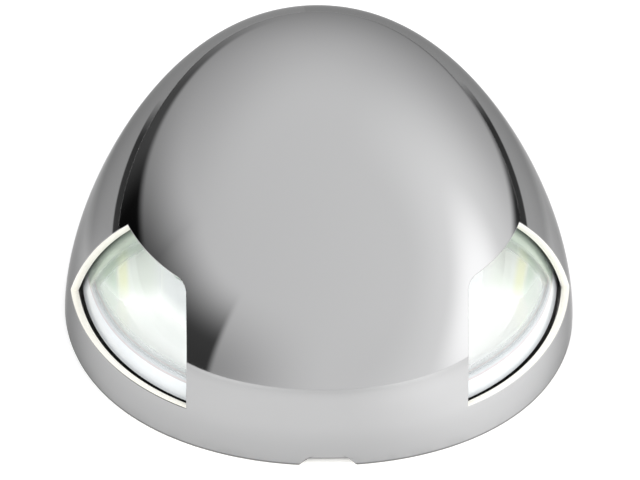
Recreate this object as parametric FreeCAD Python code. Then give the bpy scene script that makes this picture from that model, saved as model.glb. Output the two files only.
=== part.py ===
"""Deck-mounted two-colour LED navigation light for the bow of a small boat.

A polished stainless hood with two windows snaps over a sealed clear lens, which stands on a moulded
base. Everything is in millimetres. The deck is the plane Z = 0, the bow is towards -Y, starboard is
-X and port is +X. The origin is the middle of the hood's foot on the deck.
"""
import FreeCAD, Part
import math
import os

Vector = FreeCAD.Vector

# ---------------------------------------------------------------- driving sizes
# Hood
hood_width = 76.0            # across the foot, X
hood_length = 76.0           # along the foot, Y
hood_height = 40.3           # deck to crown
crown_setback = 9.9          # how far the crown leans aft of the foot's middle
side_fullness = 1.79         # power of the curve that brings the sides in
nose_fullness = 2.76         # power of the curve that brings the nose and tail in
quarter_fullness = 0.063     # extra width on the four quarters
hood_wall = 1.3

# Light sectors and windows
window_inner = 20.7          # from the centreline to the edge that looks dead ahead
window_sill = 6.2            # height of the lower edge
window_head = 22.4           # height of the upper edge
window_corner = 1.2          # radius at the upper inner corner
sector_abaft_beam = 22.5     # degrees that each sector reaches aft of the beam
window_aft_top = 8.8         # from the middle forward to the aft edge's upper end, at its outer corner
window_aft_top_side = 29.1   # from the centreline to that corner
window_aft_lean = 2.3        # how much further aft the lower end is, measured at window_inner

# Screwdriver notch in the hood's front foot
notch_top_width = 5.0
notch_foot_width = 8.4
notch_height = 1.3

# Base stack
gasket_thickness = 1.2
base_thickness = 2.4
seal_thickness = 0.8
base_gap = 0.6               # hood's inside to the base's edge

# Deck screws
deck_screw_spacing = 56.0
deck_screw_hole = 4.4
ear_diameter = 10.4
ear_height = 2.4
countersink_diameter = 8.6

# Lens
lens_gap = 0.65              # hood's inside to the lens
lens_wall = 2.0
lens_foot_width = 2.6        # inside the wall
lens_foot_height = 0.8
roof_clearance = 7.8         # hood's inside at the crown to the lens's flat top
lens_aft_face = 22.6         # flat aft face of the lens, from the middle
ear_clearance = 0.5          # round the ears
boss_diameter = 4.8
boss_height = 5.6
lens_screw_diameter = 2.5
lens_screw_head = 4.6
lens_screw_head_height = 1.3
front_boss = (12.0, -23.5)
aft_boss = (20.0, 17.8)
thread_clearance = 0.03
lens_screw_cover = 1.0       # lens left over the end of a screw's hole
lens_screw_end_gap = 0.5     # end of the hole to the screw's tip
seal_inset = 0.5             # lens's outside to the seal

# Screws in general
hole_clearance = 0.4
head_play = 0.05
slot_width = 0.6
slot_depth = 0.5

# Reflector trays
tray_gap = 0.3               # lens's inside to the tray, and foot to the tray
tray_floor = 1.0
tray_wall = 1.1
tray_inner = 19.2            # inner wall's light side, from the centreline
tray_bend = 29.5             # where the back wall turns aft
tray_back = 7.8              # back wall's light side, forward of the middle
tray_end_slope = 62.0        # degrees that the end wall turns from the back wall
tray_over_head = 0.8         # walls rise this far past the window's head
bead_width = 2.6
bead_height = 1.2
face_wall = 0.8              # wall in front of the diode's board
led_window = 5.4             # round hole in that wall

# Light-emitting diodes and their boards
led_side = 22.0              # emission point from the centreline
led_forward = 12.0
led_below_head = 5.2         # lower than the window's upper edge
led_proud = 1.9              # emission point in front of the board
led_package = 3.5
led_package_height = 1.0
led_dome_radius = 1.45
led_board_width = 9.6
led_board_height = 12.0
led_board_thickness = 1.0
board_face_gap = 0.35

# Heat sink
sink_plate = 2.0
sink_wing_width = 10.6
sink_top = 18.0
sink_foot_half_width = 11.0
sink_foot_aft = 3.0          # forward of the middle
sink_screw_side = 7.0
sink_screw_forward = 8.4
small_screw_diameter = 2.5
small_screw_head = 4.4
small_screw_head_height = 1.5
small_screw_length = 4.0

# Driver board
driver_length = 32.0         # X
driver_width = 18.0          # Y
driver_thickness = 1.6
driver_centre_forward = 1.0
standoff_height = 5.4
standoff_diameter = 4.2
standoff_side = 13.5
standoff_spread = 6.75       # each way from the board's middle
# Parts on the driver board: places from its middle, sizes as length, width and height
tall_part_side = 9.6         # capacitor to starboard, choke to port
capacitor_diameter = 8.0
capacitor_height = 9.5
capacitor_round = 0.6
choke_diameter = 8.4
choke_height = 5.0
choke_flange = 1.0
choke_waist = 6.8
chip_place = (2.2, -3.4)
chip_size = (5.0, 4.0, 1.5)
diode_place = (-3.2, -3.4)
diode_size = (4.2, 2.6, 2.1)
resistor_row = -7.2
resistor_pitch = 3.0
resistor_size = (2.0, 1.25, 0.6)
terminal_place = (0.0, 4.6)
terminal_size = (10.0, 6.6, 8.0)
terminal_pitch = 5.0
terminal_well = 3.2          # bore over each clamp screw
terminal_well_floor = 5.0
terminal_wire_way = (3.0, 3.0)
terminal_wire_floor = 1.2
clamp_screw_row = 4.0
clamp_screw_diameter = 1.8
clamp_screw_head = 2.8
clamp_screw_low = 5.6
clamp_screw_high = 7.0

# Cable entry
cable_diameter = 5.5         # free hole for the two-core cable
cable_aft = 12.3
grommet_neck = 8.0
grommet_collar = 10.2
grommet_collar_height = 1.6
grommet_inner_height = 2.6
grommet_clearance = 0.02

# Snap fingers and the beads that they hold
finger_width = 5.0
finger_thickness = 0.4
finger_top = 11.0
knee_depth = 1.1             # how far a finger's knee stands out
bead_depth = 0.9
catch_width = 4.0
catch_low = 5.3
catch_high = 6.5
catch_gap = 0.3              # finger to hood bead, so the hood slides by without touching
aft_catch_angle = 30.0       # degrees each side of dead astern

# Centre screen
screen_thickness = 1.2
screen_flange = 6.0          # across, against the heat sink

# Leads from the driver board to the boards of the diodes
lead_diameter = 1.0
lead_bend = 2.2
lead_side = 14.6             # solder pads on the driver board, from the centreline
lead_pads_forward = (2.2, 4.6)
lead_spread = 1.2            # each way from the middle of the diode's board
lead_height = 19.3

# ---------------------------------------------------------------- derived levels
base_bottom = gasket_thickness
base_top = base_bottom + base_thickness
lens_bottom = base_top + seal_thickness
lens_foot_top = lens_bottom + lens_foot_height
tray_bottom = lens_foot_top + tray_gap
tray_level = tray_bottom + tray_floor
tray_top = window_head + tray_over_head
led_height = window_head - led_below_head
lens_roof = hood_height - hood_wall - roof_clearance
driver_bottom = base_top + standoff_height
driver_top = driver_bottom + driver_thickness
ear_top = base_top + ear_height
ear_radius = ear_diameter / 2
deck_screw_offset = deck_screw_spacing / 2
base_inset = hood_wall + base_gap
pocket_half_width = ear_radius + ear_clearance
pocket_face = deck_screw_offset - ear_radius - ear_clearance
lens_pilot_top = lens_bottom + boss_height - lens_screw_cover
overcut = 1.0                # how far a cutting shape runs past what it cuts
big = 4 * max(hood_width, hood_length)

OUTLINE_POINTS = 12
SECTIONS = 8
PORT = 1
STARBOARD = -1


# ---------------------------------------------------------------- shape helpers
def section_point(angle, height, inset):
    """A point of the hood's shape, drawn in by an inset, at one height."""
    crown = hood_height - inset
    rise = min(max(height, 0.0) / crown, 1.0)
    half_width = (hood_width / 2 - inset) * math.sqrt(1 - rise ** side_fullness)
    half_length = (hood_length / 2 - inset) * math.sqrt(1 - rise ** nose_fullness)
    lean = crown_setback * (max(height, 0.0) / hood_height) ** 2
    full = 1 + quarter_fullness * math.sin(angle) ** 2
    x = half_width * math.cos(angle) * full
    y = lean + half_length * math.sin(angle)
    return Vector(x, y, height)


def section_wire(height, inset):
    """Closed smooth outline of the hood's shape at one height."""
    turn = 2 * math.pi / OUTLINE_POINTS
    points = [section_point(math.pi / 2 + turn * k, height, inset) for k in range(OUTLINE_POINTS)]
    curve = Part.BSplineCurve()
    curve.interpolate(Points=points, PeriodicFlag=True)
    return Part.Wire([curve.toShape()])


def dome(inset, bottom, roof=None):
    """Solid with the hood's shape, drawn in by an inset, from a level up to its crown or to a flat roof."""
    crown = hood_height - inset
    start = math.asin(max(bottom, 0.0) / crown)
    end = math.pi / 2 if roof is None else math.asin(roof / crown)
    heights = [crown * math.sin(start + (end - start) * k / SECTIONS) for k in range(SECTIONS + 1)]
    if bottom < 0:
        heights.insert(0, bottom)
    if roof is None:
        heights.pop()
    sections = [section_wire(height, inset) for height in heights]
    if roof is None:
        sections.append(Part.Vertex(Vector(0, crown_setback * (crown / hood_height) ** 2, crown)))
    return Part.makeLoft(sections, True, False)


def outline_slab(inset, bottom, top):
    """Flat plate with the outline of the hood's foot."""
    face = Part.Face(section_wire(0.0, inset))
    face.translate(Vector(0, 0, bottom))
    return face.extrude(Vector(0, 0, top - bottom))


def block(x0, x1, y0, y1, z0, z1):
    return Part.makeBox(x1 - x0, y1 - y0, z1 - z0, Vector(x0, y0, z0))


def rod(x, y, z0, z1, diameter):
    return Part.makeCylinder(diameter / 2, z1 - z0, Vector(x, y, z0))


def prism(points, z0, z1):
    """Upright solid over a plan polygon."""
    corners = [Vector(x, y, z0) for x, y in points]
    face = Part.Face(Part.makePolygon(corners + corners[:1]))
    return face.extrude(Vector(0, 0, z1 - z0))


def plate(start, end, thickness, z0, z1):
    """Upright plate from one plan point to another, its thickness on the left of the way there."""
    dx = end[0] - start[0]
    dy = end[1] - start[1]
    run = math.hypot(dx, dy)
    left = (-dy / run * thickness, dx / run * thickness)
    corners = [
        start,
        end,
        (end[0] + left[0], end[1] + left[1]),
        (start[0] + left[0], start[1] + left[1]),
    ]
    return prism(corners, z0, z1)


def mirrored(shape, side):
    """The shape as drawn for port, or its mirror image for starboard."""
    if side == PORT:
        return shape
    return shape.mirror(Vector(0, 0, 0), Vector(1, 0, 0))


def joined(shapes):
    result = shapes[0]
    for shape in shapes[1:]:
        result = result.fuse(shape)
    return result.removeSplitter()


def group(shapes):
    return Part.makeCompound(shapes)


def both_sides(points):
    return [(side * x, y) for side in (STARBOARD, PORT) for x, y in points]


def capsule(inset, bottom):
    """Form of the lens: the hood's shape, a pocket for the front ear and a flat aft face."""
    solid = dome(hood_wall + lens_gap + inset, bottom, lens_roof - inset)
    half = pocket_half_width + inset
    pocket = block(-half, half, -big, -pocket_face + inset, -big, big)
    aft = block(-big, big, lens_aft_face - inset, big, -big, big)
    return solid.cut(pocket).cut(aft)


# ---------------------------------------------------------------- hood
def window_cutter():
    """Port window as a slanted block, whose aft face follows the limit of the light sector."""
    slope = math.tan(math.radians(sector_abaft_beam))
    aft_top = -window_aft_top - slope * (window_aft_top_side - window_inner)
    aft_sill = aft_top + window_aft_lean
    corners = [
        Vector(window_inner, -big, window_sill),
        Vector(window_inner, aft_sill, window_sill),
        Vector(window_inner, aft_top, window_head),
        Vector(window_inner, -big, window_head),
    ]
    face = Part.Face(Part.makePolygon(corners + corners[:1]))
    solid = face.extrude(Vector(hood_width, slope * hood_width, 0))
    inner_top = [
        edge
        for edge in solid.Edges
        if abs(edge.CenterOfMass.x - window_inner) < 0.01
        and abs(edge.CenterOfMass.z - window_head) < 0.01
    ]
    return solid.makeFillet(window_corner, inner_top)


def notch_cutter():
    depth = 4 * hood_wall
    face_y = -hood_length / 2 - hood_wall
    low = -hood_wall
    slope = (notch_foot_width - notch_top_width) / 2 / notch_height
    foot = notch_foot_width / 2 + slope * hood_wall
    top = notch_top_width / 2
    corners = [
        Vector(-foot, face_y, low),
        Vector(foot, face_y, low),
        Vector(top, face_y, notch_height),
        Vector(-top, face_y, notch_height),
    ]
    face = Part.Face(Part.makePolygon(corners + corners[:1]))
    return face.extrude(Vector(0, depth, 0))


def make_cover():
    shell = dome(0.0, 0.0).cut(dome(hood_wall, -hood_wall))
    window = window_cutter()
    for side in (STARBOARD, PORT):
        shell = shell.cut(mirrored(window, side))
    return shell.cut(notch_cutter())


def catch_places():
    """Plan angle, measured from dead ahead, of each snap finger and its bead."""
    return [0.0, 180.0 - aft_catch_angle, 180.0 + aft_catch_angle]


def turned(shape, bearing):
    """A shape drawn at the nose, turned about the middle to another bearing."""
    copy = shape.copy()
    copy.rotate(Vector(0, 0, 0), Vector(0, 0, 1), bearing)
    return copy


def make_cover_beads():
    """Welded beads inside the hood, below the fingers' knees."""
    inside = dome(hood_wall, -hood_wall)
    core = dome(hood_wall + bead_depth, -hood_wall)
    ring = inside.cut(core)
    half = catch_width / 2
    window = block(-half, half, -big, 0, catch_low, catch_high)
    return group([ring.common(turned(window, bearing)) for bearing in catch_places()])


def make_snap_finger(bearing):
    """Leaf spring that stands on the base, with a knee that reaches over the hood's bead."""
    bead_edge = section_point(math.radians(bearing) - math.pi / 2, catch_high, hood_wall + bead_depth)
    reach = math.hypot(bead_edge.x, bead_edge.y) - catch_gap
    knee = catch_high + 2 * finger_thickness
    outline = [
        (-reach + knee_depth, base_top),
        (-reach + knee_depth, catch_high - knee_depth),
        (-reach, knee),
        (-reach + knee_depth, finger_top),
    ]
    leaf = [Vector(-finger_width / 2, y, z) for y, z in outline]
    back = [point + Vector(0, finger_thickness, 0) for point in reversed(leaf)]
    face = Part.Face(Part.makePolygon(leaf + back + leaf[:1]))
    return turned(face.extrude(Vector(finger_width, 0, 0)), bearing)


def make_snap_fingers():
    return group([make_snap_finger(bearing) for bearing in catch_places()])


# ---------------------------------------------------------------- base stack
def deck_screw_places():
    return [(0.0, -deck_screw_offset), (0.0, deck_screw_offset)]


def lens_screw_places():
    return both_sides([front_boss, aft_boss])


def sink_screw_places():
    return both_sides([(sink_screw_side, -sink_screw_forward)])


def standoff_places():
    front = -driver_centre_forward - standoff_spread
    back = -driver_centre_forward + standoff_spread
    return both_sides([(standoff_side, front), (standoff_side, back)])


def make_deck_gasket():
    sheet = outline_slab(base_inset, 0.0, gasket_thickness)
    for x, y in deck_screw_places():
        sheet = sheet.cut(rod(x, y, -big, big, deck_screw_hole + 2 * ear_clearance))
    return sheet.cut(rod(0, cable_aft, -big, big, grommet_collar + 2 * ear_clearance))


def make_base():
    solid = outline_slab(base_inset, base_bottom, base_top)
    ears = [rod(x, y, base_bottom, ear_top, ear_diameter) for x, y in deck_screw_places()]
    posts = [rod(x, y, base_bottom, driver_bottom, standoff_diameter) for x, y in standoff_places()]
    solid = joined([solid] + ears + posts)
    sink = (countersink_diameter - deck_screw_hole) / 2
    for x, y in deck_screw_places():
        solid = solid.cut(rod(x, y, -big, big, deck_screw_hole))
        foot = Vector(x, y, ear_top - sink)
        solid = solid.cut(Part.makeCone(deck_screw_hole / 2, countersink_diameter / 2, sink, foot))
    head_room = lens_screw_head + hole_clearance
    for x, y in lens_screw_places():
        solid = solid.cut(rod(x, y, -big, big, lens_screw_diameter + 4 * thread_clearance))
        solid = solid.cut(rod(x, y, -big, base_bottom + lens_screw_head_height, head_room))
    pilot = small_screw_diameter + 2 * thread_clearance
    for x, y in sink_screw_places():
        solid = solid.cut(rod(x, y, base_top - small_screw_length + sink_plate, big, pilot))
    for x, y in standoff_places():
        solid = solid.cut(rod(x, y, driver_top - small_screw_length, big, pilot))
    return solid.cut(rod(0, cable_aft, -big, big, grommet_neck + 2 * grommet_clearance))


def make_cable_grommet():
    """Soft bush for the supply cable, with a collar on each side of the base."""
    low = base_bottom - grommet_collar_height / 2
    neck = rod(0, cable_aft, low, base_top + grommet_inner_height, grommet_neck)
    under = rod(0, cable_aft, low, base_bottom, grommet_collar)
    over = rod(0, cable_aft, base_top, base_top + grommet_collar_height, grommet_collar)
    return joined([neck, under, over]).cut(rod(0, cable_aft, -big, big, cable_diameter))


def make_lens_seal():
    hollow = capsule(lens_wall + lens_foot_width / 2, base_top - overcut)
    ring = capsule(seal_inset, base_top).cut(hollow)
    ring = ring.common(block(-big, big, -big, big, base_top, lens_bottom))
    for x, y in lens_screw_places():
        ring = ring.cut(rod(x, y, -big, big, boss_diameter + 2 * thread_clearance))
    return ring


def make_lens():
    outer = capsule(0.0, lens_bottom)
    foot = outer.cut(capsule(lens_wall + lens_foot_width, lens_bottom - overcut))
    foot = foot.common(block(-big, big, -big, big, lens_bottom, lens_foot_top))
    wall = outer.cut(capsule(lens_wall, lens_bottom - overcut))
    boss_top = lens_bottom + boss_height
    bosses = [rod(x, y, base_top, boss_top, boss_diameter) for x, y in lens_screw_places()]
    solid = joined([wall, foot] + bosses)
    pilot = lens_screw_diameter + 2 * thread_clearance
    for x, y in lens_screw_places():
        solid = solid.cut(rod(x, y, -big, lens_pilot_top, pilot))
    return solid


def screw(x, y, head_bottom, head_top, tip, shank, head):
    """Plain screw, head up or head down, with a shallow slot across the head."""
    up = head_top > tip
    seat = head_bottom if up else head_top
    stem = rod(x, y, min(seat, tip), max(seat, tip), shank)
    body = joined([rod(x, y, head_bottom, head_top, head), stem])
    low = head_top - slot_depth if up else head_bottom
    half = slot_width / 2
    return body.cut(block(x - head, x + head, y - half, y + half, low, low + slot_depth))


def make_lens_screws():
    tip = lens_pilot_top - lens_screw_end_gap
    low = base_bottom + head_play
    high = base_bottom + lens_screw_head_height
    return group([
        screw(x, y, low, high, tip, lens_screw_diameter, lens_screw_head)
        for x, y in lens_screw_places()
    ])


# ---------------------------------------------------------------- lights
def board_frame():
    """Port board: the middle of its face, its outward direction and its direction across, in plan."""
    bearing = math.radians((90.0 + sector_abaft_beam) / 2)
    outward = (math.sin(bearing), -math.cos(bearing))
    across = (math.cos(bearing), math.sin(bearing))
    middle = (led_side - led_proud * outward[0], -led_forward - led_proud * outward[1])
    return middle, outward, across


def on_board(out, along):
    """Plan point that far in front of the port board's face and that far across it."""
    middle, outward, across = board_frame()
    return (
        middle[0] + out * outward[0] + along * across[0],
        middle[1] + out * outward[1] + along * across[1],
    )


def board_block(back, front, width, low, high):
    """Upright block in line with the port board."""
    half = width / 2
    corners = [
        on_board(back, -half),
        on_board(front, -half),
        on_board(front, half),
        on_board(back, half),
    ]
    return prism(corners, low, high)


def make_led_board(side):
    low = led_height - led_board_height / 2
    high = led_height + led_board_height / 2
    return mirrored(board_block(-led_board_thickness, 0.0, led_board_width, low, high), side)


def make_led(side):
    """Square package with a moulded dome."""
    half = led_package / 2
    package = board_block(0.0, led_package_height, led_package, led_height - half, led_height + half)
    x, y = on_board(led_package_height, 0.0)
    ball = Part.makeSphere(led_dome_radius, Vector(x, y, led_height))
    front = board_block(led_package_height / 2, big, big, -big, big)
    return mirrored(joined([package, ball.common(front)]), side)


def make_heat_sink():
    """Folded bracket: a foot on the base, a cross wall and a wing behind each board."""
    back = -led_board_thickness - sink_plate
    wing = board_block(back, -led_board_thickness, sink_wing_width, tray_bottom, sink_top)
    wing_x, wall_front = on_board(back, -sink_wing_width / 2)
    wall_back = wall_front + sink_plate
    reach = wing_x + sink_plate / 2
    half = sink_foot_half_width
    wall = block(-reach, reach, wall_front, wall_back, tray_bottom, sink_top)
    web = block(-half, half, wall_front, wall_back, base_top, tray_bottom)
    foot = block(-half, half, wall_front, -sink_foot_aft, base_top, base_top + sink_plate)
    solid = joined([wall, web, foot, wing, mirrored(wing, STARBOARD)])
    for x, y in sink_screw_places():
        solid = solid.cut(rod(x, y, -big, big, small_screw_diameter + hole_clearance))
    return solid


def make_small_screws(places, seat):
    high = seat + small_screw_head_height
    tip = seat - small_screw_length
    return group([
        screw(x, y, seat, high, tip, small_screw_diameter, small_screw_head) for x, y in places
    ])


def along_board(direction, value):
    """Plan point on the face wall's line where X (direction 0) or Y (direction 1) has a value."""
    start = on_board(board_face_gap, 0.0)
    across = board_frame()[2]
    return on_board(board_face_gap, (value - start[direction]) / across[direction])


def tray_walls():
    """Plan points of the port tray: inner corner, back corner, bend and far end of the end wall."""
    slope = math.tan(math.radians(tray_end_slope))
    far = (hood_width, -tray_back + slope * (hood_width - tray_bend))
    return along_board(0, tray_inner), along_board(1, -tray_back), (tray_bend, -tray_back), far


def led_hole():
    """Round hole through the face wall, in line with the port diode."""
    outward = board_frame()[1]
    start = Vector(*on_board(0.0, 0.0), led_height)
    return Part.makeCylinder(led_window / 2, led_window, start, Vector(*outward, 0.0))


def make_reflector(side):
    """White tray of one light chamber: a floor with a bead along the lens, and its upright walls."""
    inner_corner, back_corner, bend, far = tray_walls()
    nose = (tray_inner, -big)
    outer = (hood_width, -big)
    floor = prism([nose, inner_corner, back_corner, bend, far, outer], tray_bottom, tray_level)
    runs = [(nose, inner_corner), (back_corner, bend), (bend, far)]
    walls = [plate(start, end, tray_wall, tray_bottom, tray_top) for start, end in runs]
    room_width = sink_wing_width + 2 * board_face_gap
    board_room = board_block(-big, board_face_gap, room_width, -big, big)
    face = plate(back_corner, inner_corner, face_wall, tray_bottom, tray_top)
    tray = joined([joined([floor] + walls).cut(board_room), face]).cut(led_hole())
    room = capsule(lens_wall + tray_gap, tray_bottom - overcut)
    rim = room.cut(capsule(lens_wall + tray_gap + bead_width, tray_bottom - 2 * overcut))
    over_floor = prism([nose, inner_corner, bend, far, outer], tray_level, tray_level + bead_height)
    return mirrored(joined([tray.common(room), rim.common(over_floor)]), side)


def make_centre_screen():
    """Black upright that keeps each colour out of the other chamber."""
    wall_y = on_board(-led_board_thickness - sink_plate, -sink_wing_width / 2)[1]
    half = screen_thickness / 2
    fin = block(-half, half, -big, wall_y, tray_bottom, big)
    fin = fin.common(capsule(lens_wall + tray_gap, tray_bottom - 1))
    half = screen_flange / 2
    flange = block(-half, half, wall_y - screen_thickness, wall_y, tray_bottom, sink_top)
    return joined([fin, flange])


# ---------------------------------------------------------------- driver
def driver_middle():
    return -driver_centre_forward


def make_driver_board():
    y = driver_middle()
    board = block(-driver_length / 2, driver_length / 2, y - driver_width / 2, y + driver_width / 2,
                  driver_bottom, driver_top)
    for x, y in standoff_places():
        board = board.cut(rod(x, y, -big, big, small_screw_diameter + hole_clearance))
    return board


def on_driver(place, size):
    """Block that stands on the driver board, placed from the board's middle."""
    x, y = place[0], place[1] + driver_middle()
    half_length, half_width = size[0] / 2, size[1] / 2
    high = driver_top + size[2]
    return block(x - half_length, x + half_length, y - half_width, y + half_width, driver_top, high)


def make_capacitor():
    high = driver_top + capacitor_height
    can = rod(-tall_part_side, driver_middle(), driver_top, high, capacitor_diameter)
    return can.makeFillet(capacitor_round, [can.Edges[0]])


def make_choke():
    low = driver_top + choke_flange
    high = driver_top + choke_height - choke_flange
    levels = [
        (driver_top, low, choke_diameter),
        (low, high, choke_waist),
        (high, high + choke_flange, choke_diameter),
    ]
    return joined([rod(tall_part_side, driver_middle(), *level) for level in levels])


def make_driver_chip():
    return on_driver(chip_place, chip_size)


def make_diode():
    return on_driver(diode_place, diode_size)


def make_resistors():
    steps = (-2, -1, 0, 1, 2)
    return group([on_driver((step * resistor_pitch, resistor_row), resistor_size) for step in steps])


def clamp_places():
    y = driver_middle() + clamp_screw_row
    return [(-terminal_pitch / 2, y), (terminal_pitch / 2, y)]


def make_terminal_block():
    body = on_driver(terminal_place, terminal_size)
    mouth_y = driver_middle() + terminal_place[1]
    low = driver_top + terminal_wire_floor
    half = terminal_wire_way[0] / 2
    for x, y in clamp_places():
        body = body.cut(block(x - half, x + half, mouth_y, big, low, low + terminal_wire_way[1]))
        body = body.cut(rod(x, y, driver_top + terminal_well_floor, big, terminal_well))
    return body


def make_terminal_screws():
    low = driver_top + clamp_screw_low
    high = driver_top + clamp_screw_high
    tip = driver_top + terminal_well_floor
    return group([
        screw(x, y, low, high, tip, clamp_screw_diameter, clamp_screw_head)
        for x, y in clamp_places()
    ])


def bent_rod(corners, diameter, bend):
    """Round wire along straight runs, with a tangent arc at each corner."""
    edges = []
    start = corners[0]
    for before, corner, after in zip(corners, corners[1:], corners[2:]):
        way_in = (before - corner).normalize()
        way_out = (after - corner).normalize()
        half_angle = way_in.getAngle(way_out) / 2
        reach = bend / math.tan(half_angle)
        middle_way = (way_in + way_out).normalize()
        arc_start = corner + way_in * reach
        arc_end = corner + way_out * reach
        arc_middle = corner + middle_way * (bend / math.sin(half_angle) - bend)
        edges.append(Part.LineSegment(start, arc_start).toShape())
        edges.append(Part.Arc(arc_start, arc_middle, arc_end).toShape())
        start = arc_end
    edges.append(Part.LineSegment(start, corners[-1]).toShape())
    circle = Part.Circle(corners[0], corners[1] - corners[0], diameter / 2)
    return Part.Wire(edges).makePipeShell([Part.Wire([circle.toShape()])], True, True)


def make_led_leads(side):
    """Two leads from the driver board over the heat sink to the back of the diode's board."""
    leads = []
    board = make_led_board(PORT)
    for forward, along in zip(lead_pads_forward, (lead_spread, -lead_spread)):
        x, y = on_board(-led_board_thickness, along)
        corners = [
            Vector(lead_side, -forward, driver_top),
            Vector(lead_side, -forward, lead_height),
            Vector(x, y, lead_height),
        ]
        leads.append(bent_rod(corners, lead_diameter, lead_bend).cut(board))
    return mirrored(group(leads), side)


# ---------------------------------------------------------------- the assembly
def parts():
    return {
        "cover": make_cover(),
        "cover_beads": make_cover_beads(),
        "snap_fingers": make_snap_fingers(),
        "deck_gasket": make_deck_gasket(),
        "base": make_base(),
        "cable_grommet": make_cable_grommet(),
        "lens_seal": make_lens_seal(),
        "lens": make_lens(),
        "lens_screws": make_lens_screws(),
        "reflector_port": make_reflector(PORT),
        "reflector_starboard": make_reflector(STARBOARD),
        "led_board_port": make_led_board(PORT),
        "led_board_starboard": make_led_board(STARBOARD),
        "red_led": make_led(PORT),
        "green_led": make_led(STARBOARD),
        "led_leads_port": make_led_leads(PORT),
        "led_leads_starboard": make_led_leads(STARBOARD),
        "heat_sink": make_heat_sink(),
        "heat_sink_screws": make_small_screws(sink_screw_places(), base_top + sink_plate),
        "centre_screen": make_centre_screen(),
        "driver_board": make_driver_board(),
        "driver_board_screws": make_small_screws(standoff_places(), driver_top),
        "capacitor": make_capacitor(),
        "choke": make_choke(),
        "driver_chip": make_driver_chip(),
        "diode": make_diode(),
        "resistors": make_resistors(),
        "terminal_block": make_terminal_block(),
        "terminal_screws": make_terminal_screws(),
    }


os.makedirs("parts", exist_ok=True)
for name, shape in parts().items():
    shape.exportStep(os.path.join("parts", name + ".step"))
    box = shape.optimalBoundingBox()
    print(f"{name:22s} solids {len(shape.Solids)} valid {shape.isValid()} volume {shape.Volume:9.1f}"
          f"  x {box.XMin:6.2f} {box.XMax:6.2f}  y {box.YMin:6.2f} {box.YMax:6.2f}"
          f"  z {box.ZMin:6.2f} {box.ZMax:6.2f}")
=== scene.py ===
"""Bow navigation light with a polished stainless hood, seen on a plain white table.

Metres throughout. The deck is Z = 0, the bow is towards -Y, starboard is -X and port is +X.
"""
import math

import bpy
import bmesh
from mathutils import Matrix, Vector


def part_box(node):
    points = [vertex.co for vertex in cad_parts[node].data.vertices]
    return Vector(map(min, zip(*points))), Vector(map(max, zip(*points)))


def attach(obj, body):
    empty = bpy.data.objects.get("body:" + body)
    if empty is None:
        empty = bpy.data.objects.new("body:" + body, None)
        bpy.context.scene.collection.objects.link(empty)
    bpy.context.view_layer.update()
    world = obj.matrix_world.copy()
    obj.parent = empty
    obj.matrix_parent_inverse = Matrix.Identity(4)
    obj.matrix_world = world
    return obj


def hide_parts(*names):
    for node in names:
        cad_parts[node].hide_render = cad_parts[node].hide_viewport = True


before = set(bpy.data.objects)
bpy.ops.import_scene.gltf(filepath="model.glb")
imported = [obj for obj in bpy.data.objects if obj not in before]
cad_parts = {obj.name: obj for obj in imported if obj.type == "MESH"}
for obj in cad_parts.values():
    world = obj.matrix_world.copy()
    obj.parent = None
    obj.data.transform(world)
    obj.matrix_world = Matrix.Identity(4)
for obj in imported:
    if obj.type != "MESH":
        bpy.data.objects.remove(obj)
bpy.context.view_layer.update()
MM = 0.001
HAIR = 1e-6                      # allowed for rounding

# ---------------------------------------------------------------- sizes of the hood's shape
cover_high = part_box("cover")[1]
hood_half = cover_high.x         # half the width and half the length at the foot
hood_height = cover_high.z
crown_setback = 9.9 * MM         # how far the crown leans aft
side_fullness = 1.79             # power of the curve that brings the sides in
nose_fullness = 2.76             # power of the curve that brings the nose and tail in
quarter_fullness = 0.063         # extra width on the four quarters
hood_wall = 1.3 * MM
edge_softening = 0.16 * MM
hood_segments = 256
hood_rings = 64

# Windows and the screwdriver notch
window_inner = 20.7 * MM         # from the centreline to the edge that looks dead ahead
window_sill = 6.2 * MM
window_head = 22.4 * MM
window_corner = 1.2 * MM
sector_slope = math.tan(math.radians(22.5))
aft_corner = (29.1 * MM, -8.8 * MM)
aft_lean = 2.3 * MM              # how much further aft the sill's end is than the head's
notch_top = 5.0 * MM
notch_foot = 8.4 * MM
notch_height = 1.3 * MM

# Lens, which has the hood's shape drawn in
lens_gap = 0.65 * MM             # hood's inside to the lens
lens_wall = 2.0 * MM
lens_low, lens_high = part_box("lens")
lens_bottom = 4.4 * MM
lens_foot_top = 5.2 * MM
lens_foot_width = 2.6 * MM
lens_roof = lens_high.z
lens_aft = lens_high.y
foot_band_top = 8.7 * MM         # frosted up to here
pocket_half = 5.7 * MM           # pocket for the front ear of the base
pocket_face = 22.3 * MM
boss_places = ((12.0 * MM, -23.5 * MM), (20.0 * MM, 17.8 * MM))
boss_radius = 2.4 * MM
boss_height = 5.6 * MM
pilot_radius = 1.28 * MM
pilot_cover = 1.0 * MM           # left over the end of each screw's hole
lens_segments = 192
lens_rings = 48


# ---------------------------------------------------------------- modelling helpers
def alone(piece):
    """Selects one object and nothing else."""
    bpy.ops.object.select_all(action="DESELECT")
    piece.select_set(True)
    bpy.context.view_layer.objects.active = piece


def start(name):
    """Takes the primitive that was just added as a new piece."""
    piece = bpy.context.object
    piece.name = name
    piece.data.name = name
    return piece


def select_faces(piece, test):
    """Selects the faces whose middle passes a test, in edit mode."""
    mesh = bmesh.from_edit_mesh(piece.data)
    for face in mesh.faces:
        face.select_set(False)
    for face in mesh.faces:
        if test(face.calc_center_median()):
            face.select_set(True)
    bmesh.update_edit_mesh(piece.data)


def cut_plane(piece, test, point, normal):
    """Cuts the faces that pass a test along a plane."""
    select_faces(piece, test)
    bpy.ops.mesh.bisect(plane_co=point, plane_no=normal, threshold=1e-7)


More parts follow.
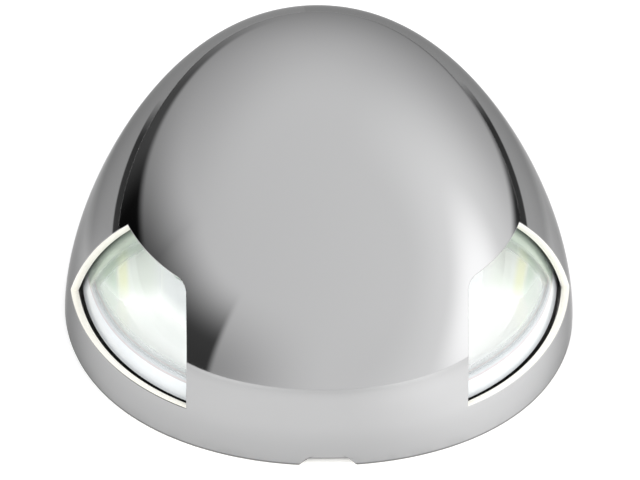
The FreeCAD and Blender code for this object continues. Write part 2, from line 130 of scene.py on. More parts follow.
def trim(piece, point, normal):
    """Removes what lies beyond a plane and closes the cut."""
    alone(piece)
    bpy.ops.object.mode_set(mode="EDIT")
    bpy.ops.mesh.select_all(action="SELECT")
    bpy.ops.mesh.bisect(
        plane_co=point, plane_no=normal, use_fill=True, clear_outer=True, threshold=1e-7
    )
    bpy.ops.object.mode_set(mode="OBJECT")


def finish_modifier(piece, kind, **settings):
    """Adds a modifier and applies it."""
    alone(piece)
    modifier = piece.modifiers.new(kind.title(), kind)
    for name, value in settings.items():
        setattr(modifier, name, value)
    bpy.ops.object.modifier_apply(modifier=modifier.name)


def combine(piece, tool, operation):
    """Boolean with another object, which is then removed."""
    finish_modifier(piece, "BOOLEAN", object=tool, operation=operation, solver="EXACT")
    bpy.data.objects.remove(tool)


def smooth(piece, angle):
    """Smooths the faces that meet at less than an angle in degrees."""
    alone(piece)
    bpy.ops.object.shade_smooth_by_angle(angle=math.radians(angle))


def box_tool(low, high):
    """Box between two corners."""
    low, high = Vector(low), Vector(high)
    bpy.ops.mesh.primitive_cube_add(size=1, location=(low + high) / 2, scale=high - low)
    bpy.ops.object.transform_apply(location=True, rotation=True, scale=True)
    return bpy.context.object


# ---------------------------------------------------------------- the hood's shape
def half_sizes(height, inset):
    """Half width and half length of the shape at one height."""
    rise = min(max(height / (hood_height - inset), 0.0), 1.0)
    width = (hood_half - inset) * math.sqrt(1 - rise ** side_fullness)
    length = (hood_half - inset) * math.sqrt(1 - rise ** nose_fullness)
    return width, length


def shape_point(angle, height, inset):
    """Point on the shape, at an angle round it from +X and a height."""
    width, length = half_sizes(height, inset)
    lean = crown_setback * (max(height, 0.0) / hood_height) ** 2
    full = 1 + quarter_fullness * math.sin(angle) ** 2
    return Vector((width * math.cos(angle) * full, lean + length * math.sin(angle), height))


def shape_angle(point, inset):
    """Angle round the shape of a point on it."""
    width, length = half_sizes(point.z, inset)
    lean = crown_setback * (point.z / hood_height) ** 2
    sine = max(-1.0, min(1.0, (point.y - lean) / max(length, 1e-9)))
    angle = math.asin(sine)
    return angle if point.x >= 0 else math.pi - angle


def shape_normal(angle, height, inset):
    """Outward normal of the shape."""
    step = 1e-3
    crown = (hood_height - inset) * (1 - 1e-6)
    if height > crown * 0.9999:
        return Vector((0, 0, 1))
    rise = 5 * MM * step
    low, high = max(height - rise, 0.0), min(height + rise, crown)
    around = shape_point(angle + step, height, inset) - shape_point(angle - step, height, inset)
    upward = shape_point(angle, high, inset) - shape_point(angle, low, inset)
    return around.cross(upward).normalized()


def aft_edge(x, z):
    """How far aft the window reaches at a place."""
    lean = aft_lean * (window_head - z) / (window_head - window_sill)
    return aft_corner[1] + sector_slope * (abs(x) - aft_corner[0]) + lean


def slide(angle, height, inset, distance):
    """Angle near the given one where a distance function is nought."""
    step = 1e-4
    for _ in range(8):
        here = distance(shape_point(angle, height, inset))
        slope = (distance(shape_point(angle + step, height, inset)) - here) / step
        if abs(slope) < 1e-9:
            return angle
        angle -= here / slope
    return angle


def add_shape(name, inset, segments, rings, levels=(), edges=()):
    """Open shell with the hood's shape, with rows at given levels and points slid onto given edges.

    An edge is a pair: a test for the points near it, and their distance from it.
    """
    bpy.ops.mesh.primitive_uv_sphere_add(segments=segments, ring_count=2 * rings, radius=1.0)
    shell = start(name)
    bpy.ops.object.mode_set(mode="EDIT")
    bpy.ops.mesh.select_all(action="SELECT")
    bpy.ops.mesh.bisect(plane_co=(0, 0, 0), plane_no=(0, 0, 1), clear_inner=True, threshold=1e-5)
    bpy.ops.object.mode_set(mode="OBJECT")
    crown = hood_height - inset
    reach = 0.4 * MM
    nearest = {}
    heights = sorted({round(v.co.z, 6) for v in shell.data.vertices})
    for level in levels:
        nearest[min(heights, key=lambda z: abs(z * crown - level))] = level
    for vertex in shell.data.vertices:
        row = round(vertex.co.z, 6)
        height = nearest.get(row, max(vertex.co.z, 0.0) * crown)
        angle = math.atan2(vertex.co.y, vertex.co.x)
        if row > 0.999999:
            vertex.co = shape_point(0.0, crown, inset)
            continue
        point = shape_point(angle, height, inset)
        for limit, distance in edges:
            if limit(point) and abs(distance(point)) < reach:
                angle = slide(angle, height, inset, distance)
                point = shape_point(angle, height, inset)
        vertex.co = point
    shell.data.update()
    return shell


def near_window(p):
    """Whether a point is at the height of the windows and forward of their aft ends."""
    return p.y < 5 * MM and window_sill - HAIR < p.z < window_head + HAIR


def true_normals(piece, inset):
    """Gives the faces on the shape its exact normals, so that reflections run clean."""
    off_shape = 0.02 * MM
    facing = 0.97
    mesh = piece.data
    normals = [Vector((0, 0, 0))] * len(mesh.loops)
    exact = {}
    for vertex in mesh.vertices:
        if not 0 <= vertex.co.z < hood_height - inset + HAIR:
            continue
        angle = shape_angle(vertex.co, inset)
        if (shape_point(angle, vertex.co.z, inset) - vertex.co).length < off_shape:
            exact[vertex.index] = shape_normal(angle, vertex.co.z, inset)
    for face in mesh.polygons:
        for loop in face.loop_indices:
            normal = exact.get(mesh.loops[loop].vertex_index)
            if normal is not None and normal.dot(face.normal) > facing:
                normals[loop] = normal
    mesh.normals_split_custom_set(normals)


# ---------------------------------------------------------------- hood
def window_faces(side):
    """Test for the faces inside one window."""
    def inside(p):
        x = side * p.x
        return (
            x > window_inner
            and window_sill < p.z < window_head
            and p.y < aft_edge(x, p.z)
            and all((Vector((x, p.z)) - point).dot(normal) < 0 for point, normal in corner_planes())
        )
    return inside


def corner_planes():
    """Flats that round the window's upper inner corner."""
    centre = Vector((window_inner + window_corner, window_head - window_corner))
    planes = []
    for degrees in (112.5, 135.0, 157.5):
        turn = math.radians(degrees)
        normal = Vector((math.cos(turn), math.sin(turn)))
        planes.append((centre + normal * window_corner, normal))
    return planes


def cut_window(hood, side):
    """Opens one window, in edit mode."""
    def around(p):
        return side * p.x > 10 * MM and near_window(p)

    cut_plane(hood, around, (side * window_inner, 0, 0), (1, 0, 0))
    lean = aft_lean / (window_head - window_sill)
    corner = (side * aft_corner[0], aft_corner[1], window_head)
    cut_plane(hood, around, corner, (side * sector_slope, -1, -lean))
    for point, normal in corner_planes():
        cut_plane(hood, around, (side * point.x, 0, point.y), (side * normal.x, 0, normal.y))
    select_faces(hood, window_faces(side))
    bpy.ops.mesh.delete(type="FACE")


def cut_notch(hood):
    """Opens the screwdriver notch in the front foot, in edit mode."""
    slope = (notch_foot - notch_top) / 2 / notch_height

    def foot(p):
        return p.y < -30 * MM and p.z < notch_height

    def inside(p):
        return foot(p) and abs(p.x) < notch_foot / 2 - slope * p.z

    for side in (-1, 1):
        cut_plane(hood, foot, (side * notch_foot / 2, 0, 0), (side, 0, slope))
    select_faces(hood, inside)
    bpy.ops.mesh.delete(type="FACE")


def make_hood():
    """Pressed shell with its two windows and the notch, walled inwards, with softened edges."""
    edges = [
        (near_window, lambda p: abs(p.x) - window_inner),
        (near_window, lambda p: p.y - aft_edge(p.x, p.z)),
    ]
    levels = (notch_height, window_sill, window_head)
    hood = add_shape("hood_shell", 0.0, hood_segments, hood_rings, levels, edges)
    alone(hood)
    bpy.ops.object.mode_set(mode="EDIT")
    for side in (-1, 1):
        cut_window(hood, side)
    cut_notch(hood)
    bpy.ops.mesh.select_all(action="SELECT")
    bpy.ops.mesh.remove_doubles(threshold=0.04 * MM)
    bpy.ops.mesh.normals_make_consistent(inside=False)
    bpy.ops.object.mode_set(mode="OBJECT")
    for finish in ("polished_stainless", "satin_inside", "cut_edge_painted_highlight"):
        hood.data.materials.append(finishes[finish])
    finish_modifier(
        hood, "SOLIDIFY", thickness=hood_wall, offset=-1, use_even_offset=True,
        material_offset=1, material_offset_rim=2,
    )
    finish_modifier(
        hood, "BEVEL", width=edge_softening, segments=2, limit_method="ANGLE",
        angle_limit=math.radians(40), use_clamp_overlap=False,
    )
    for vertex in hood.data.vertices:    # the wall's foot stands flat on the deck
        vertex.co.z = max(vertex.co.z, 0.0)
    smooth(hood, 40)
    true_normals(hood, 0.0)
    return hood


# ---------------------------------------------------------------- lens
def capsule(inset, low, roof):
    """Solid with the shape of the lens, drawn in by an inset."""
    total = hood_wall + lens_gap + inset
    body = add_shape("capsule", total, lens_segments, lens_rings)
    trim(body, (0, 0, low), (0, 0, -1))
    trim(body, (0, 0, roof), (0, 0, 1))
    trim(body, (0, lens_aft - inset, 0), (0, 1, 0))
    half = pocket_half + inset
    pocket = box_tool((-half, -0.1, -0.01), (half, -pocket_face + inset, 0.1))
    combine(body, pocket, "DIFFERENCE")
    return body


def upright(x, y, radius, low, high):
    """Upright cylinder between two heights."""
    bpy.ops.mesh.primitive_cylinder_add(
        vertices=32, radius=radius, depth=high - low, location=(x, y, (low + high) / 2)
    )
    bpy.ops.object.transform_apply(location=True, rotation=True, scale=True)
    return bpy.context.object


def make_lens():
    """Hollow clear moulding with a foot inside its wall and four bored bosses."""
    lens = capsule(0.0, lens_bottom, lens_roof)
    lens.name = "lens_moulding"
    combine(lens, capsule(lens_wall, lens_foot_top, lens_roof - lens_wall), "DIFFERENCE")
    through_foot = capsule(lens_wall + lens_foot_width, lens_bottom - MM, lens_foot_top + 0.01 * MM)
    combine(lens, through_foot, "DIFFERENCE")
    boss_top = lens_bottom + boss_height
    for x, y in boss_places:
        for side in (-1, 1):
            combine(lens, upright(side * x, y, boss_radius, lens_low.z, boss_top), "UNION")
            pilot = upright(side * x, y, pilot_radius, -MM, boss_top - pilot_cover)
            combine(lens, pilot, "DIFFERENCE")
    smooth(lens, 30)
    true_normals(lens, hood_wall + lens_gap)
    return lens


# ---------------------------------------------------------------- shader helpers
class Value:
    """A shader output that takes part in arithmetic."""

    def __init__(self, nodes, socket):
        self.nodes = nodes
        self.socket = socket

    def __add__(self, other):
        return self.nodes.math("ADD", self, other)

    def __sub__(self, other):
        return self.nodes.math("SUBTRACT", self, other)

    def __mul__(self, other):
        return self.nodes.math("MULTIPLY", self, other)

    def __pow__(self, other):
        return self.nodes.math("POWER", self, other)

    def __rsub__(self, other):
        return self.nodes.math("SUBTRACT", other, self)

    __radd__ = __add__
    __rmul__ = __mul__


class Nodes:
    """One node tree, filled by one method."""

    def __init__(self, owner):
        owner.use_nodes = True
        self.tree = owner.node_tree
        self.tree.nodes.clear()

    def add(self, kind, settings=None, inputs=None, output=0):
        """Adds a node with its settings and inputs, and gives one of its outputs."""
        node = self.tree.nodes.new("ShaderNode" + kind)
        for name, value in (settings or {}).items():
            setattr(node, name, value)
        for name, value in (inputs or {}).items():
            self.feed(node, name, value)
        if isinstance(output, str):
            return Value(self, next(s for s in node.outputs if s.enabled and s.name == output))
        live = [s for s in node.outputs if s.enabled]
        return Value(self, live[output]) if live else None

    def feed(self, node, name, value):
        """Sets an input, or links it to another node."""
        if isinstance(name, int):
            socket = node.inputs[name]
        else:
            socket = next(s for s in node.inputs if s.enabled and s.name == name)
        if isinstance(value, Value):
            self.tree.links.new(value.socket, socket)
        else:
            socket.default_value = value

    def math(self, operation, first, second=0.0):
        return self.add("Math", {"operation": operation}, {0: first, 1: second})

    def most(self, first, second):
        return self.math("MAXIMUM", first, second)

    def fade(self, value, low, high, at_low=0.0, at_high=1.0):
        """Smooth step from one value to another."""
        return self.add(
            "MapRange",
            {"interpolation_type": "SMOOTHSTEP"},
            {
                "Value": value, "From Min": low, "From Max": high,
                "To Min": at_low, "To Max": at_high,
            },
        )

    def blend(self, factor, first, second):
        """Mixes two colours."""
        return self.add(
            "Mix",
            {"data_type": "RGBA"},
            {"Factor": factor, "A": colour(first), "B": colour(second)},
            "Result",
        )

    def axis(self, name, spot=None):
        """One of X, Y and Z of the object's coordinates, or of another direction."""
        spot = spot or self.add("TexCoord", output="Object")
        return self.add("SeparateXYZ", {}, {0: spot}, name)

    def place(self, scale=(1.0, 1.0, 1.0)):
        """The object's coordinates, stretched."""
        spot = self.add("TexCoord", output="Object")
        return self.add("Mapping", {}, {"Vector": spot, "Scale": scale})

    def noise(self, scale, detail=2.0, vector=None):
        """Cloudy pattern between 0 and 1."""
        inputs = {"Vector": vector or self.place(), "Scale": scale, "Detail": detail}
        return self.add("TexNoise", {}, inputs, "Fac")

    def bump(self, height, strength, distance):
        return self.add("Bump", {}, {"Height": height, "Strength": strength, "Distance": distance})


def colour(value):
    """A grey or a colour as a socket takes it."""
    if isinstance(value, Value):
        return value
    if isinstance(value, (int, float)):
        return (value, value, value, 1.0)
    return (*value, 1.0) if len(value) == 3 else value


def finish_material(name, build):
    """A material whose shader is made by a function of its nodes."""
    material = bpy.data.materials.new(name)
    nodes = Nodes(material)
    shader = build(nodes)
    nodes.add("OutputMaterial", {}, {"Surface": shader})
    return material


def principled(nodes, **inputs):
    """Principled shader, with an underscore for each space in an input's name."""
    names = {key.replace("_", " "): value for key, value in inputs.items()}
    if "Base Color" in names:
        names["Base Color"] = colour(names["Base Color"])
    return nodes.add("BsdfPrincipled", {}, names)


# ---------------------------------------------------------------- finishes
steel_tone = (0.57, 0.57, 0.572)


def polished_steel(n):
    """Mirror polish with a breath of haze, fine wiping marks and a little wear at the foot, with
    painted shade along the bottom edge and over the notch.
    """
    haze = n.noise(60.0, 3.0)
    wipes = n.noise(900.0, 2.0, n.place(scale=(1.0, 0.12, 0.5)))
    spots = n.fade(n.noise(2600.0, 1.0), 0.66, 0.74)
    height = n.axis("Z")
    side = n.math("ABSOLUTE", n.axis("X"))
    foot = n.fade(height, 2.5 * MM, 0.2 * MM) * n.fade(n.noise(300.0, 4.0), 0.4, 0.65)
    # Painted shade: the bottom edge, and the edge over the notch, are darkened to stand for the
    # shade where the hood meets the deck and under the notch's top.
    in_front = n.fade(n.axis("Y"), -30 * MM, -34 * MM)
    at_notch = n.fade(side, notch_top / 2 + 0.5 * MM, notch_top / 2) * in_front
    painted_notch_shade = at_notch * n.fade(height, notch_height + 0.4 * MM, notch_height)
    painted_edge_shade = n.most(n.fade(height, 0.5 * MM, 0.2 * MM), painted_notch_shade)
    tone = n.blend(haze * 0.08, steel_tone, (0.54, 0.545, 0.55))
    tone = n.blend(foot * 0.25, tone, (0.42, 0.42, 0.42))
    tone = n.blend(painted_edge_shade * 0.75, tone, (0.16, 0.16, 0.16))
    rough = 0.028 + haze * 0.012 + wipes * 0.012 + spots * 0.01 + foot * 0.12
    relief = n.bump(haze * 0.7 + wipes * 0.3, 0.012, 0.02 * MM)
    return principled(
        n, Base_Color=tone, Metallic=1.0, Roughness=rough, Specular_Tint=(0.5, 0.5, 0.5, 1.0),
        Normal=relief,
    )


def satin_steel(n):
    """Unpolished inside of the pressing."""
    grain = n.noise(1500.0, 3.0, n.place(scale=(1.0, 1.0, 6.0)))
    blotch = n.noise(120.0, 3.0)
    tone = n.blend(blotch, (0.42, 0.42, 0.42), (0.56, 0.56, 0.555))
    return principled(
        n, Base_Color=tone, Metallic=1.0, Roughness=0.28 + grain * 0.14 + blotch * 0.06,
        Normal=n.bump(grain, 0.25, 0.02 * MM),
    )


def cut_edge_painted_highlight(n):
    """Linished edge of the pressing, round the windows and the foot, painted pale cream with a
    faint glow as a painted highlight.
    """
    grain = n.noise(1600.0, 3.0)
    # Painted highlight: the pale cream colour and the faint glow below stand for the light the
    # rounded edge catches, though the edge is no lamp.
    tone = n.blend(grain, (0.86, 0.84, 0.76), (0.96, 0.94, 0.87))
    return principled(
        n, Base_Color=tone, Metallic=0.08, Roughness=0.35 + grain * 0.12,
        Coat_Weight=0.3 + grain * 0.1,
        Emission_Color=(1.0, 0.98, 0.9, 1.0), Emission_Strength=0.1,
        Normal=n.bump(grain, 0.08, 0.02 * MM),
    )


def brushed_metal(base, dark, rough, grain_scale=(1.0, 12.0, 12.0)):
    """Metal with a drawn or turned grain, dulled in patches."""
    def build(n):
        grain = n.noise(700.0, 4.0, n.place(scale=grain_scale))
        dull = n.noise(160.0, 3.0)
        tone = n.blend(grain * 0.5 + dull * 0.4, base, dark)
        return principled(
            n, Base_Color=tone, Metallic=1.0, Roughness=rough + grain * 0.16 + dull * 0.08,
            Normal=n.bump(grain, 0.3, 0.02 * MM),
        )
    return build


def moulded(base, second, rough, grain=1800.0, relief=0.25, gloss=0.5):
    """Moulded plastic or rubber with a fine spark-eroded texture and faint flow marks."""
    def build(n):
        fine = n.noise(grain, 3.0)
        flow = n.noise(45.0, 3.0, n.place(scale=(1.0, 2.6, 1.0)))
        dust = n.fade(n.noise(2400.0, 2.0), 0.68, 0.8)
        tone = n.blend(n.fade(flow, 0.3, 0.7), base, second)
        tone = n.blend(dust * 0.12, tone, (0.5, 0.48, 0.45))
        return principled(
            n, Base_Color=tone, Roughness=rough + fine * 0.12 + dust * 0.1,
            Specular_IOR_Level=gloss, Normal=n.bump(fine + flow * 0.3, relief, 0.03 * MM),
        )
    return build


def white_reflector(n):
    """Glossy white moulding, with painted tints and shade on its corners standing for the coloured
    light the thick clear lens throws: a darker green end wall, a yellow streak at the bend,
    lavender on the face and pale green between.

    The light that bounces about in the closed chamber is painted in as a faint glow of its own,
    weaker higher up.
    """
    fine = n.noise(1500.0, 2.0)
    flow = n.noise(70.0, 2.0)
    x = n.math("ABSOLUTE", n.axis("X"))
    z = n.axis("Z")
    upper = n.fade(z + flow * 2 * MM, 7.5 * MM, 12.5 * MM)
    wobble = x + (flow - 0.5) * 0.8 * MM
    # Painted tints and shade: these colours stand for light the lens throws on the walls, not the
    # moulding's own colour.
    painted_end_wall_shade = n.fade(wobble, 29.2 * MM, 30.2 * MM) * upper
    painted_bend_streak = n.fade(wobble, 27.7 * MM, 28.6 * MM) * n.fade(wobble, 29.9 * MM, 29.1 * MM) * upper
    face = n.fade(x, 25.0 * MM, 22.0 * MM) * upper
    middle = n.fade(x, 23.0 * MM, 25.5 * MM) * (1 - painted_bend_streak) * upper
    tone = n.blend(n.fade(flow, 0.3, 0.7), (0.975, 0.975, 0.972), (0.96, 0.962, 0.958))
    tone = n.blend(painted_end_wall_shade * 0.9, tone, (0.5, 0.7, 0.5))
    tone = n.blend(painted_bend_streak * 0.85, tone, (0.95, 0.96, 0.6))
    tone = n.blend(face * 0.5, tone, (0.88, 0.88, 0.95))
    tone = n.blend(middle * 0.4, tone, (0.9, 0.96, 0.84))
    return principled(
        n, Base_Color=tone, Roughness=0.3 + fine * 0.1,
        Coat_Weight=0.25 + flow * 0.15, Coat_Roughness=0.1,
        # Painted light: a glow of its own, dimmed higher up, stands in for the light bouncing about
        # the chamber.
        Emission_Color=n.blend(upper * 0.8, tone, (0.2, 0.22, 0.2)), Emission_Strength=0.26,
        Normal=n.bump(fine, 0.02, 0.01 * MM),
    )


def clear_glass(n):
    """Clear moulding, frosted along its foot in a pale band that also paints in the light the thick
    wall carries; where it runs in behind the hood it is painted milky green as a painted tint of
    the light it bends, and below the sill it is painted near black as a painted shadow.

    Light for the parts inside goes straight through.
    """
    fine = n.noise(700.0, 2.0)
    flow = n.noise(40.0, 2.0)
    glass = principled(
        n, Base_Color=(0.975, 0.99, 0.98), Roughness=0.012 + fine * 0.02,
        Transmission_Weight=1.0, IOR=1.49, Normal=n.bump(flow, 0.02, 0.05 * MM),
    )
    through = n.add("BsdfTransparent", {}, {"Color": (0.96, 0.975, 0.965, 1.0)})
    shadow = n.add("LightPath", output="Is Shadow Ray")
    clear = n.add("MixShader", {}, {0: shadow, 1: glass, 2: through})

    x = n.math("ABSOLUTE", n.axis("X"))
    y = n.axis("Y")
    z = n.axis("Z")
    lean = (window_head - z) * (aft_lean / (window_head - window_sill))
    behind = y - (x - aft_corner[0]) * sector_slope - aft_corner[1] - lean
    grain = n.noise(1200.0, 3.0)
    # Frosted foot band, partly real frosting and partly painted light for the light carried down
    # the thick wall.
    at_foot = n.fade(z, foot_band_top, foot_band_top - 0.25 * MM)
    over_foot = n.fade(z, foot_band_top + 1.4 * MM, foot_band_top) * 0.6
    # Painted tint: milky green where the lens runs in behind the hood, for the light it bends
    # there.
    painted_side_tint = n.fade(behind, -1.9 * MM, -0.7 * MM) * n.fade(behind, 3.2 * MM, 1.8 * MM)
    # Painted shadow: the lens goes near black below the sill, where the hood's sill shades it.
    painted_sill_shadow = n.fade(z, window_sill - 0.36 * MM, window_sill - 0.46 * MM)
    # Painted tint: a pinkish line at the top of the foot band, for the light the lens splits there.
    line = n.fade(n.math("ABSOLUTE", z - foot_band_top), 0.22 * MM, 0.08 * MM)
    tone = n.blend(grain, (0.88, 0.93, 0.96), (0.94, 0.97, 0.99))
    tone = n.blend(painted_side_tint * (1 - at_foot), tone, (0.72, 0.84, 0.72))
    tone = n.blend(line, tone, (0.93, 0.84, 0.85))
    tone = n.blend(painted_sill_shadow, tone, (0.012, 0.012, 0.012))
    milky = principled(
        n, Base_Color=tone, Roughness=0.16 + grain * 0.08, Coat_Weight=0.6,
        Normal=n.bump(grain, 0.05, 0.03 * MM),
    )
    frosted = n.most(n.most(at_foot * 0.9, over_foot), painted_side_tint * 0.5)
    rim = n.most(frosted, painted_sill_shadow * (0.25 + at_foot * 0.75))
    return n.add("MixShader", {}, {0: rim, 1: clear, 2: milky})


def led_dome(base, glow):
    """Tinted clear dome over the die, unlit."""
    def build(n):
        cloud = n.noise(900.0, 2.0)
        tone = n.blend(cloud * 0.6, base, glow)
        return principled(
            n, Base_Color=tone, Roughness=0.08 + cloud * 0.1, Coat_Weight=0.8 + cloud * 0.2,
            Normal=n.bump(cloud, 0.1, 0.03 * MM),
        )
    return build


def solder_board(mask, copper_under, pitch):
    """Solder mask over copper tracks, with small plated pads."""
    def build(n):
        spot = n.place()
        tracks = n.add(
            "TexBrick", {"offset": 0.37, "squash": 0.8},
            {
                "Vector": spot, "Scale": pitch, "Mortar Size": 0.08, "Color1": (1, 1, 1, 1),
                "Color2": (0.7, 0.7, 0.7, 1), "Mortar": (0, 0, 0, 1),
                "Brick Width": 0.9, "Row Height": 0.3,
            },
            "Fac",
        )
        pads = n.add(
            "TexVoronoi", {"feature": "F1"}, {"Vector": spot, "Scale": pitch * 1.6}, "Distance"
        )
        pad = n.fade(pads, 0.16, 0.12)
        grain = n.noise(1800.0, 2.0)
        tone = n.blend(tracks, mask, copper_under)
        tone = n.blend(pad, tone, (0.78, 0.76, 0.7))
        return principled(
            n, Base_Color=tone, Metallic=pad * 0.9, Roughness=0.34 + grain * 0.12 - pad * 0.08,
            Normal=n.bump(tracks * 0.6 + pad + grain * 0.1, 0.35, 0.04 * MM),
        )
    return build


def capacitor_sleeve(n):
    """Printed sleeve without its print: a dark shrink film with a paler stripe and a bare top."""
    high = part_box("capacitor")[1]
    top = n.fade(n.axis("Z"), high.z - 0.4 * MM, high.z - 0.1 * MM)
    film = n.noise(500.0, 2.0, n.place(scale=(1.0, 1.0, 0.1)))
    tone = n.blend(film, (0.035, 0.05, 0.09), (0.06, 0.08, 0.13))
    tone = n.blend(top, tone, (0.72, 0.72, 0.72))
    return principled(
        n, Base_Color=tone, Metallic=top, Roughness=0.3 + film * 0.15,
        Normal=n.bump(film, 0.2, 0.03 * MM),
    )


def tinned_wire(base, second):
    """Insulated lead with a slight draw texture."""
    def build(n):
        drawn = n.noise(1300.0, 2.0, n.place(scale=(1.0, 1.0, 0.2)))
        wear = n.noise(240.0, 2.0)
        return principled(
            n, Base_Color=n.blend(wear, base, second), Roughness=0.38 + drawn * 0.15,
            Normal=n.bump(drawn, 0.25, 0.03 * MM),
        )
    return build


FINISHES = {
    "polished_stainless": polished_steel,
    "satin_inside": satin_steel,
    "cut_edge_painted_highlight": cut_edge_painted_highlight,
    "spring_steel": brushed_metal((0.55, 0.55, 0.54), (0.42, 0.42, 0.42), 0.22),
    "neoprene": moulded((0.02, 0.02, 0.021), (0.034, 0.034, 0.035), 0.74, 1400.0, 0.6, 0.3),
    "white_housing": moulded((0.82, 0.82, 0.8), (0.77, 0.77, 0.75), 0.42, 1600.0, 0.3),
    "black_rubber": moulded((0.015, 0.015, 0.016), (0.026, 0.026, 0.027), 0.62, 1100.0, 0.5, 0.35),
    "white_silicone": moulded((0.84, 0.84, 0.82), (0.78, 0.78, 0.76), 0.5, 900.0, 0.3, 0.4),
    "clear_lens": clear_glass,
    "stainless_fastener": brushed_metal(
        (0.6, 0.6, 0.595), (0.46, 0.46, 0.455), 0.2, (6.0, 6.0, 1.0)
    ),
    "white_reflector": white_reflector,
    "white_board": solder_board((0.86, 0.87, 0.86), (0.8, 0.81, 0.79), 330.0),
    "red_dome": led_dome((0.55, 0.02, 0.015), (0.75, 0.12, 0.08)),
    "green_dome": led_dome((0.02, 0.4, 0.12), (0.15, 0.62, 0.3)),
    "lead_insulation": tinned_wire((0.62, 0.03, 0.025), (0.5, 0.02, 0.02)),
    "plain_aluminium": brushed_metal((0.74, 0.74, 0.735), (0.6, 0.6, 0.6), 0.3),
    "black_plastic": moulded((0.022, 0.022, 0.024), (0.034, 0.034, 0.036), 0.45, 1500.0, 0.3, 0.45),
    "green_board": solder_board((0.01, 0.13, 0.055), (0.02, 0.22, 0.085), 210.0),
    "capacitor_can": capacitor_sleeve,
    "dark_ferrite": moulded((0.05, 0.048, 0.047), (0.09, 0.085, 0.08), 0.66, 1900.0, 0.5, 0.3),
    "terminal_plastic": moulded((0.03, 0.2, 0.09), (0.045, 0.26, 0.12), 0.4, 1300.0, 0.3),
}
finishes = {name: finish_material(name, build) for name, build in FINISHES.items()}

NODE_FINISH = {
    "cover_beads": "satin_inside",
    "snap_fingers": "spring_steel",
    "deck_gasket": "neoprene",
    "base": "white_housing",
    "cable_grommet": "black_rubber",
    "lens_seal": "white_silicone",
    "lens_screws": "stainless_fastener",
    "reflector_port": "white_reflector",
    "reflector_starboard": "white_reflector",
    "led_board_port": "white_board",
    "led_board_starboard": "white_board",
    "red_led": "red_dome",
    "green_led": "green_dome",
    "led_leads_port": "lead_insulation",
    "led_leads_starboard": "lead_insulation",
    "heat_sink": "plain_aluminium",
    "heat_sink_screws": "stainless_fastener",
    "centre_screen": "black_plastic",
    "driver_board": "green_board",
    "driver_board_screws": "stainless_fastener",
    "capacitor": "capacitor_can",
    "choke": "dark_ferrite",
    "driver_chip": "black_plastic",
    "diode": "black_plastic",
    "resistors": "black_plastic",
    "terminal_block": "terminal_plastic",
    "terminal_screws": "stainless_fastener",
}
for node, finish in NODE_FINISH.items():
    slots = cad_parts[node].data.materials
    for place in range(len(slots)):
        slots[place] = finishes[finish]

hood = make_hood()
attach(hood, "hood")
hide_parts("cover")

lens = make_lens()
lens.data.materials.clear()
lens.data.materials.append(finishes["clear_lens"])
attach(lens, "housing")
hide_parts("lens")


# ---------------------------------------------------------------- table, surroundings and lights
table_radius = 0.6
shade_radius = 0.59
shade_height = 0.1 * MM


def white_table(n):
    """Lit white acrylic table."""
    grain = n.noise(30.0, 2.0)
    tone = n.blend(grain, (0.9, 0.9, 0.9), (0.93, 0.93, 0.93))
    return principled(
        n, Base_Color=tone, Roughness=0.6 + grain * 0.1,
        Emission_Color=(1, 1, 1, 1), Emission_Strength=0.3,
    )


bpy.ops.mesh.primitive_circle_add(vertices=96, radius=table_radius, fill_type="NGON")
table = start("table")
table.data.materials.append(finish_material("white_table", white_table))


def bearing(n, x, y):
    """Degrees to port of dead ahead in which a place or a direction lies, with and without sign."""
    side = n.math("ARCTAN2", x, 0 - y) * math.degrees(1)
    return side, n.math("ABSOLUTE", side)


def reflected_shade(n):
    """How much darker the steel sees the table than it is, by place.

    It falls off with distance, and is dark in the two far corners behind.
    """
    x, y = n.axis("X"), n.axis("Y")
    far = n.math("SQRT", x * x + y * y)
    side, away = bearing(n, x, y)

    # Brighter towards the soft lamp, darker close round the foot
    lit = n.fade(side, 5.0, 45.0) * n.fade(side, 120.0, 90.0)
    near = n.fade(far, 0.055, 0.040) * 0.06
    falloff = 0.265 + near + n.fade(far, 0.07, 0.28) * 0.12 - lit * 0.2

    # The two far corners, and the ground behind each flank
    behind = n.fade(away, 106.0, 118.0) * n.fade(away, 160.0, 142.0)
    corner = behind * n.fade(far, 0.18, 0.25) * 0.95
    depth = 0.55 - n.fade(side, -145.0, -179.0) * 0.1
    starboard = n.fade(side, -80.0, -125.0) * n.fade(far, 0.038, 0.075) * depth
    port = n.fade(side, 84.0, 112.0) * n.fade(far, 0.042, 0.085) * 0.5
    factor = n.most(n.most(falloff, corner), n.most(starboard, port))
    clear = n.add("BsdfTransparent", {}, {"Color": (1, 1, 1, 1)})
    dark = principled(
        n, Base_Color=n.blend(factor, 0.02, 0.01), Roughness=0.9, Specular_IOR_Level=0.0
    )
    return n.add("MixShader", {}, {0: factor, 1: clear, 2: dark})


bpy.ops.mesh.primitive_circle_add(
    vertices=96, radius=shade_radius, fill_type="NGON", location=(0, 0, shade_height)
)
bpy.ops.object.transform_apply(location=True)
shade = start("table_shade")
shade.data.materials.append(finish_material("table_shade", reflected_shade))
shade.visible_camera = False
shade.visible_diffuse = False
shade.visible_shadow = False
shade.visible_transmission = False


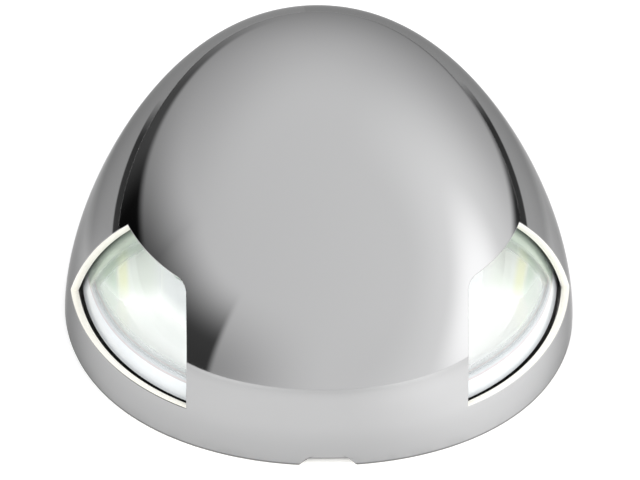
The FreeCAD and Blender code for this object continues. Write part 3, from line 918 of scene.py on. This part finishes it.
def surroundings():
    """Pale tent, even overhead and darker low down behind.

    A dark flag stands to starboard, a soft lamp to port, and a dark line runs low round the back.
    """
    world = bpy.data.worlds.new("tent")
    bpy.context.scene.world = world
    n = Nodes(world)
    direction = n.add("TexCoord", output="Generated")
    x, y, z = (n.axis(name, direction) for name in "XYZ")
    lift = n.math("ARCSINE", z) * math.degrees(1)
    side, away = bearing(n, x, y)

    # Even overhead, falling off low down behind and a little to starboard
    overhead = 0.905
    behind = n.fade(side, -60.0, -150.0) + n.fade(side, 106.0, 165.0)
    tone = overhead - behind * n.fade(lift, 62.0, 4.0) * 0.34
    wane = n.fade(side, 4.0, -52.0) * n.fade(side, -100.0, -80.0) * n.fade(lift, 44.0, 0.0)
    tone = tone * (1 - wane * 0.5) + x * n.fade(lift, 5.0, 40.0) * 0.07

    # The flag, whose top slopes down towards the back
    falling = lift + n.most(-100.0 - side, 0.0) * 0.5
    flag = n.fade(side, -47.2, -51.5) * n.fade(side, -165.0, -110.0) * n.fade(falling, 42.0, 12.0)
    tone = tone * (1 - flag * 0.88)

    # The dark line round the back, lower towards the middle and on the port side
    band_top = n.fade(away, 108.0, 150.0, 7.0, 0.5) - n.fade(side, -90.0, 90.0, -4.0, 3.0)
    band = n.fade(away, 104.0, 112.0) * n.fade(away, 177.0, 150.0)
    band = band * n.fade(lift - band_top, 2.0, -2.0) * n.fade(away, 126.0, 142.0, 0.97, 0.78)
    tone = tone * (1 - band)

    # The soft lamp, with a bright middle
    reach = n.math("SQRT", (side - 72.0 - lift * 0.8) ** 2.0 + (lift - 11.0) ** 2.0)
    tone = tone + n.fade(reach, 64.0, 12.0) * 0.25 + n.fade(reach, 30.0, 9.0) * 0.5
    tint = n.add("CombineColor", {}, {0: tone, 1: tone, 2: tone * 1.004})
    light = n.add("Background", {}, {"Color": tint, "Strength": 1.0})
    n.add("OutputWorld", {}, {"Surface": light})


def add_lamp(name, kind, energy, place, aim, **settings):
    """A lamp at a place, turned to face a point, that lights things but isn't seen itself."""
    data = bpy.data.lights.new(name, kind)
    data.energy = energy
    for key, value in settings.items():
        setattr(data, key, value)
    lamp = bpy.data.objects.new(name, data)
    bpy.context.collection.objects.link(lamp)
    lamp.location = place
    lamp.rotation_euler = (Vector(aim) - Vector(place)).to_track_quat("-Z", "Y").to_euler()
    lamp.visible_glossy = False
    lamp.visible_transmission = False
    lamp.visible_camera = False


surroundings()
add_lamp("overhead_key", "SUN", 0.3, (0.1, -0.2, 1.0), (0, 0, 0), angle=math.radians(60))
add_lamp("port_fill", "AREA", 0.55, (0.30, -0.38, 0.26), (0.01, -0.01, 0.01), size=0.25)
add_lamp("starboard_fill", "AREA", 0.85, (-0.30, -0.38, 0.26), (-0.01, -0.01, 0.01), size=0.25)

# ---------------------------------------------------------------- camera
view_lift = math.radians(37.008)
view_turn = math.radians(-2.827)
view_roll = math.radians(-1.338)
view_distance = 1.3084
view_shift = (-0.00046, 0.00645)
focal_length = 494.6
sensor_width = 36.0
target = Vector((0, 0, 12 * MM))
back = Vector((
    math.sin(view_turn) * math.cos(view_lift),
    -math.cos(view_turn) * math.cos(view_lift),
    math.sin(view_lift),
))
right = Vector((math.cos(view_turn), math.sin(view_turn), 0))
up = back.cross(right)
camera_x = right * math.cos(view_roll) - up * math.sin(view_roll)
camera_y = right * math.sin(view_roll) + up * math.cos(view_roll)
camera_data = bpy.data.cameras.new("camera")
camera = bpy.data.objects.new("camera", camera_data)
bpy.context.collection.objects.link(camera)
camera.matrix_world = Matrix.Translation(target + back * view_distance) @ Matrix(
    (camera_x, camera_y, back)
).transposed().to_4x4()
camera_data.sensor_width = sensor_width
camera_data.lens = focal_length
camera_data.shift_x, camera_data.shift_y = view_shift
camera_data.clip_start = 0.05
camera_data.clip_end = 50.0
bpy.context.scene.camera = camera

scene = bpy.context.scene
scene.view_settings.view_transform = "Standard"
scene.view_settings.look = "None"
